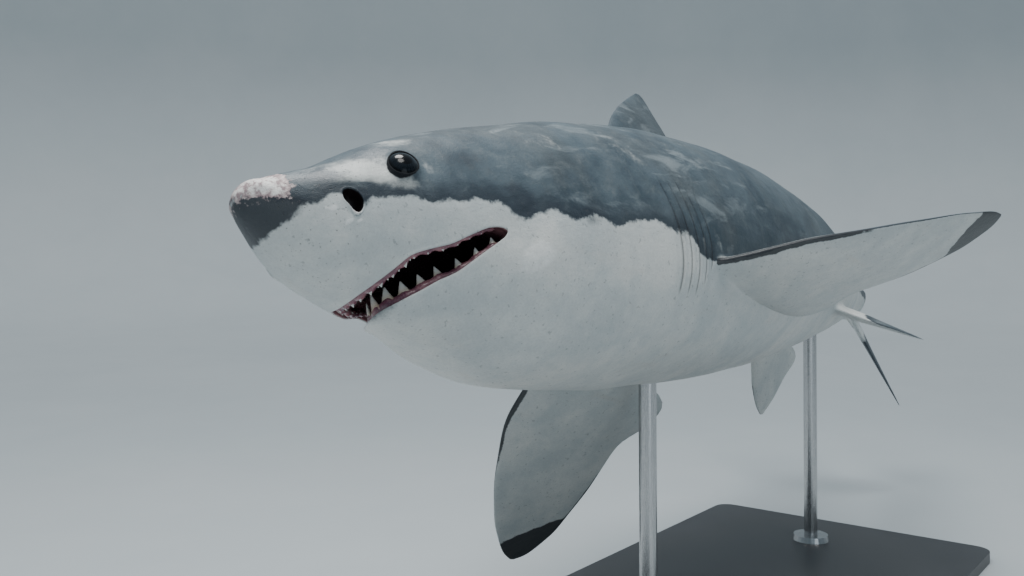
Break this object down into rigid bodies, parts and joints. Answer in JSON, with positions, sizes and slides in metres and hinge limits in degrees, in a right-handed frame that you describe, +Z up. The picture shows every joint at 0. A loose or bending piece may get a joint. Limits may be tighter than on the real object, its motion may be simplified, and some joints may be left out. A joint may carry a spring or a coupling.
{
  "type": "great white shark display model",
  "caption": "Life-size great white shark swimming with its mouth slightly open, banked to its right, as a still model held by steel rods on a flat base.",
  "frame": {"origin": "centre of the stand base's underside, on the floor", "axes": "+Z up, -X towards the shark's head, +X towards its tail and along the base, +Y towards its right side"},
  "size_m": [4.0551, 1.4355, 1.6907],
  "materials": {
    "shark_skin": "damp satin skin with fine denticles, slate grey above with paler mottling, off-white below, meeting in a ragged line",
    "eye": "wet black, glossy",
    "teeth": "ivory enamel, slightly translucent, stained towards the root",
    "mouth_lining": "wet dark pink gums and palate",
    "stand_base": "satin charcoal paint on board",
    "stand_steel": "brushed, satin"
  },
  "bodies": {
    "root": {"head": "shark_skin", "lower_jaw": "shark_skin", "gill_region": "shark_skin", "trunk": "shark_skin", "hind_trunk": "shark_skin", "tail_stem": "shark_skin", "dorsal_fin": "shark_skin", "second_dorsal_fin": "shark_skin", "anal_fin": "shark_skin", "caudal_fin_upper": "shark_skin", "caudal_fin_lower": "shark_skin", "pectoral_fin_left": "shark_skin", "pectoral_fin_right": "shark_skin", "pelvic_fin_left": "shark_skin", "pelvic_fin_right": "shark_skin", "eye_left": "eye", "eye_right": "eye", "stand_base": "stand_base", "stand_collar_front": "stand_steel", "stand_collar_rear": "stand_steel", "stand_rod_front": "stand_steel", "stand_rod_rear": "stand_steel"}
  },
  "joints": []
}
